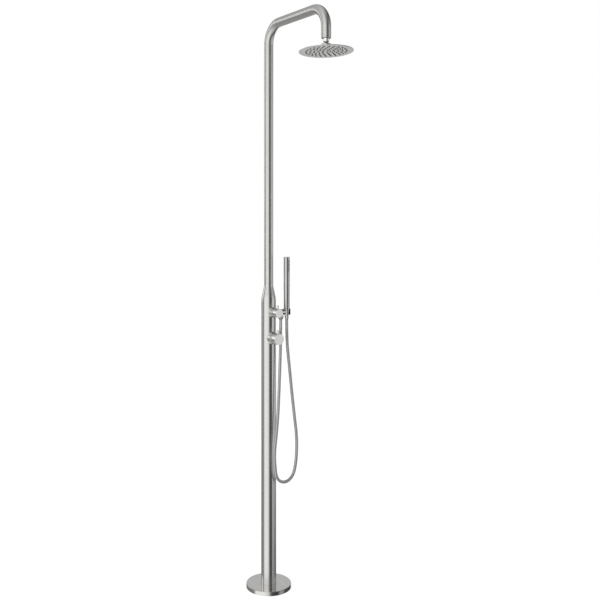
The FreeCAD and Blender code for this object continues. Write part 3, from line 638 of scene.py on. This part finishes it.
# %% [markdown]
# Each CAD part arrives with a plain stand-in in its material slots. Picking finishes by hand would
# have to be done again after every change of the model, so a table says which part gets which, and
# a loop fills the slots. Parts that no picture shows, such as the valve bodies and the hoses in the
# post, get the finish that they have in the real object.

# %% Give every part its finish
parts_with = [
    (tube_steel, "post_tube", "taper", "outlet_nut", "handset_nut"),
    (arm_steel, "riser_arm"),
    (side_steel, "handset_holder"),
    (front_steel, "mixer_sleeve", "diverter_sleeve"),
    (handset_steel, "handset_tube", "handset_cap"),
    (cover_steel, "base_cover"),
    (plate_steel, "head_shell", "head_collar", "face_plate"),
    (mixer_steel, "mixer_knob", "mixer_lever"),
    (diverter_steel, "diverter_knob", "diverter_lever"),
    (polished, "ball_stem"),
    (plain_steel, "floor_flange", "mixer_grub_screw", "diverter_grub_screw", "link_pipe"),
    (wire_braid, "cold_supply_hose", "hot_supply_hose"),
    (brass, "mixer_body", "diverter_body", "mixer_cartridge_nut", "diverter_cartridge_nut",
     "mixer_spindle", "diverter_spindle", "cold_supply_nut", "hot_supply_nut", "handset_connector"),
    (white_plastic, "mixer_cartridge", "diverter_cartridge", "check_valves", "ball_seat"),
    # The arm's bush carries the painted shade of the gap at the arm's end.
    (painted_shade_bush, "arm_bush"),
    (black_plastic, "holder_liner"),
    (black_rubber, "cover_seal", "riser_hose", "outlet_washer", "handset_washer", "chamber_gasket"),
    (spray_grey, "spray_insert"),
    (spray_tips, "handset_nozzles"),
    (soft_grey, "nozzle_mat", "head_nozzles"),
    (hose_silver, "shower_hose"),
]
finish_of = {part_name: finish for finish, *part_names in parts_with for part_name in part_names}
for part_name, part in nodes.items():
    for material_slot in part.material_slots:
        material_slot.material = finish_of[part_name]
print("parts without a finish:", [name for name in nodes if name not in finish_of])

# %% [markdown]
# ## Studio
#
# Steel shows its surroundings more than itself, so a product picture of it is made by what stands
# round it. Lamps alone would leave thin hot lines on dark tubes. Here a wide drum of soft light
# stands round the object, and a ramp says how bright it is at each bearing from the post. The stripes
# that the tubes mirror in the photograph give the ramp: a bright wall at the camera's left, a narrow
# dark one at its right with a bright one beside it, and behind the object a bright strip between
# greys.

# %% Bearings round the post
camera_bearing = math.atan2(-view_direction.y, -view_direction.x)


def bearing_stops(stops):
    """Brightness at angles to the camera's right, in degrees, as positions round the drum from 0 to 1."""
    placed = []
    for angle, value in stops:
        placed.append((((camera_bearing + math.radians(angle)) / (2 * math.pi)) % 1.0, value))
    return sorted(placed)


level_stops = bearing_stops([
    (-178, 0.95), (-168, 0.90), (-156, 0.50), (-144, 0.32), (-128, 0.28), (-92, 0.30), (-80, 0.46),
    (-72, 1.05), (-64, 1.26), (-26, 1.26), (-12, 1.14), (-4, 0.98), (4, 0.66), (11, 0.24), (20, 0.09),
    (48, 0.09), (54, 0.80), (62, 1.00), (74, 0.98), (84, 0.86), (104, 0.92), (130, 0.50), (150, 0.55),
    (166, 0.90),
])
print("level stops", [(round(position, 3), value) for position, value in level_stops])

# %% [markdown]
# An upright tube turns a ray sideways and leaves its rise as it is. So the foot of the post, which
# is seen from above, mirrors what is low in the surround, and the top of the riser mirrors what is
# high. One ramp would give both the same stripes, and the photograph shows that they differ, so
# there is a ramp for each of four more layers.

# %% Ramps for the other layers
low_stops = bearing_stops([
    (-176, 0.36), (-160, 0.26), (-144, 0.26), (-84, 0.30), (-76, 0.60), (-68, 1.22), (-26, 1.28),
    (-12, 1.15), (2, 0.80), (11, 0.22), (20, 0.09), (48, 0.07), (56, 0.30), (64, 0.46), (80, 0.40),
    (90, 0.10), (140, 0.08), (166, 0.36),
])
deep_stops = bearing_stops([
    (-172, 0.28), (-144, 0.40), (-84, 0.40), (-66, 1.10), (-8, 1.15), (11, 0.24), (48, 0.07),
    (140, 0.05), (160, 0.20),
])
high_stops = bearing_stops([
    (-172, 0.52), (-144, 0.42), (-130, 0.38), (-114, 0.40), (-94, 0.36), (-84, 0.54), (-76, 0.95),
    (-66, 1.36), (-12, 1.34), (2, 0.88), (11, 0.24), (20, 0.10), (48, 0.10), (54, 0.60), (62, 0.80),
    (84, 0.70), (104, 0.60), (150, 0.40), (168, 0.52),
])
upper_stops = bearing_stops([
    (-172, 0.53), (-94, 0.50), (-66, 0.90), (-12, 0.92), (11, 0.30), (60, 0.12), (140, 0.12),
    (168, 0.48),
])
print("stops per layer", [len(stops) for stops in (low_stops, deep_stops, high_stops, upper_stops)])

# %% [markdown]
# The drum's material works out two things from a point's direction: the bearing, which picks a place
# on a ramp, and the rise, which picks the layer. A painted panorama would need a picture from a
# file; numbers at bearings need none, and each one can be changed by itself.

# %% Bearing and rise on the drum
drum_material, drum_tree = empty_material("studio_drum")
drum_place = add(drum_tree, "ShaderNodeTexCoord").outputs["Object"]
drum_split = add(drum_tree, "ShaderNodeSeparateXYZ", {0: drum_place})
bearing = math_of(drum_tree, "ARCTAN2", drum_split.outputs[1], drum_split.outputs[0])
bearing = math_of(drum_tree, "DIVIDE", bearing, 2 * math.pi)
bearing = math_of(drum_tree, "FRACT", math_of(drum_tree, "ADD", bearing, 1.0))
outward = add(drum_tree, "ShaderNodeVectorMath", {0: drum_place}, operation="NORMALIZE").outputs[0]
rise = add(drum_tree, "ShaderNodeSeparateXYZ", {0: outward}).outputs[2]
print("drum reads a direction with", len(drum_tree.nodes), "nodes")

# %% [markdown]
# The layers are laid over one another like coats of paint: each begins at one rise and covers what
# is under it from another, and the soft step between them leaves no line in the steel. Straight
# below and above, where the bearings run together, the light is one even value.

# %% Layers of light
light_below = 1.05
light_above = 0.75


def ramp_of(stops):
    """The light of the drum by bearing, as a grey ramp with the given stops."""
    node = add(drum_tree, "ShaderNodeValToRGB", {"Fac": bearing})
    elements = node.color_ramp.elements
    while len(elements) < len(stops):
        elements.new(0.5)
    for element, (position, value) in zip(elements, stops):
        element.position = position
        element.color = (*grey(value), 1.0)
    return node.outputs[0]


def over(share, under, upper):
    """One light laid over another by a share."""
    return add(drum_tree, "ShaderNodeMix", {0: share, 6: under, 7: upper}, data_type="RGBA").outputs[2]


layers = [
    (ramp_of(low_stops), -0.26, -0.42),
    (ramp_of(deep_stops), -0.48, -0.62),
    ((*grey(light_below), 1.0), -0.88, -0.96),
    (ramp_of(high_stops), 0.08, 0.24),
    (ramp_of(upper_stops), 0.27, 0.40),
    ((*grey(light_above), 1.0), 0.86, 0.95),
]
drum_light = ramp_of(level_stops)
for light, begins, full in layers:
    drum_light = over(soft_step(drum_tree, rise, begins, full), drum_light, light)
print("drum has", len(layers) + 1, "layers")

# %% [markdown]
# The sides of the knobs and of their sleeves are round about a level axis, and mirror what stands
# behind the object. A soft lamp there gives them their highlight. It is a wide bright spot on the
# drum and not a lamp of its own, because a small lamp would leave a thin hard line on each tube. How
# near a direction is to the lamp's, as a dot product, fades the spot in.

# %% Lamp behind the object
lamp_bearing = math.radians(123.5)
lamp_rise = 0.17
lamp_edge = 0.955
lamp_core = 0.992
lamp_light = 1.65

lamp_toward = Vector((math.cos(lamp_bearing), math.sin(lamp_bearing), lamp_rise)).normalized()
lamp_near = add(drum_tree, "ShaderNodeVectorMath", {0: outward, 1: lamp_toward}, operation="DOT_PRODUCT")
lamp_share = soft_step(drum_tree, lamp_near.outputs["Value"], lamp_edge, lamp_core)
drum_light = over(lamp_share, drum_light, (*grey(lamp_light), 1.0))
drum_glow = add(drum_tree, "ShaderNodeEmission", {"Color": drum_light, "Strength": 1.0})
add(drum_tree, "ShaderNodeOutputMaterial", {"Surface": drum_glow.outputs[0]})
print("lamp toward", [round(component, 3) for component in lamp_toward])

# %% [markdown]
# The drum is a large ball. The camera doesn't see it, and it throws no shadow, so that only its light
# and its mirror image are left. It could stand as near as real softboxes do, but then each tube
# would see it differently, and far away one set of stripes fits a whole tube.

# %% Drum
drum_radius = 14.0
drum_middle = 1.2


def round_mesh(name, make, **sizes):
    """A mesh that one of bmesh's makers of round shapes makes, as an object in the scene."""
    mesh = bpy.data.meshes.new(name)
    bm = bmesh.new()
    make(bm, **sizes)
    bm.to_mesh(mesh)
    bm.free()
    obj = bpy.data.objects.new(name, mesh)
    scene.collection.objects.link(obj)
    return obj


drum = round_mesh("studio_drum", bmesh.ops.create_uvsphere, u_segments=64, v_segments=32, radius=drum_radius)
drum.data.materials.append(drum_material)
drum.location = (0.0, 0.0, drum_middle)
drum.visible_camera = False
drum.visible_shadow = False
print("drum", 2 * drum_radius, "m across")

# %% [markdown]
# The shower stands on a pale floor before a white background. More light would make them white, but
# the steel would clip with them. Light Path tells the kinds of ray apart instead: to the camera, and
# through glass, the floor glows a little of its own. It still takes the light of the drum and the
# soft shadow of the foot. Mirrors look through it, because the low stripes of the drum stand below.

# %% Floor
floor_radius = 13.5
floor_drop = 0.0005
floor_tone = 0.55
floor_glow = 0.78


def seen_ray(tree):
    """1 for a ray from the camera, off a mirror or through glass, and 0 for any other."""
    rays = add(tree, "ShaderNodeLightPath")
    seen = math_of(tree, "MAXIMUM", rays.outputs["Is Camera Ray"], rays.outputs["Is Glossy Ray"])
    return math_of(tree, "MAXIMUM", seen, rays.outputs["Is Transmission Ray"])


floor_material, floor_tree, floor_shader = new_material("floor_white")
set_inputs(floor_tree, floor_shader, {
    "Base Color": (*grey(floor_tone), 1.0), "Roughness": 1.0, "Specular IOR Level": 0.0,
    "Emission Color": (1.0, 1.0, 1.0, 1.0),
    "Emission Strength": math_of(floor_tree, "MULTIPLY", seen_ray(floor_tree), floor_glow),
})
floor = round_mesh("studio_floor", bmesh.ops.create_circle, cap_ends=True, segments=96, radius=floor_radius)
floor.data.materials.append(floor_material)
floor.location.z = -floor_drop
floor.visible_glossy = False
print("floor", 2 * floor_radius, "m across")

# %% [markdown]
# Past the floor's edge the camera looks at the world. It could be hidden behind a backdrop, but a
# background of one even white only needs the world's colour, and again only for the rays that see
# it. The colours are shown as they are, without a film look, so that white stays white.

# %% World
world_light = 0.8

world = bpy.data.worlds.new("studio_world")
scene.world = world
world.use_nodes = True
world_tree = world.node_tree
world_tree.nodes.clear()
world_colour = mixed_colour(world_tree, seen_ray(world_tree), grey(world_light), grey(1.0))
world_back = add(world_tree, "ShaderNodeBackground", {"Color": world_colour, "Strength": 1.0})
add(world_tree, "ShaderNodeOutputWorld", {"Surface": world_back.outputs[0]})
scene.view_settings.view_transform = "Standard"
print("world ready, view", scene.view_settings.view_transform)
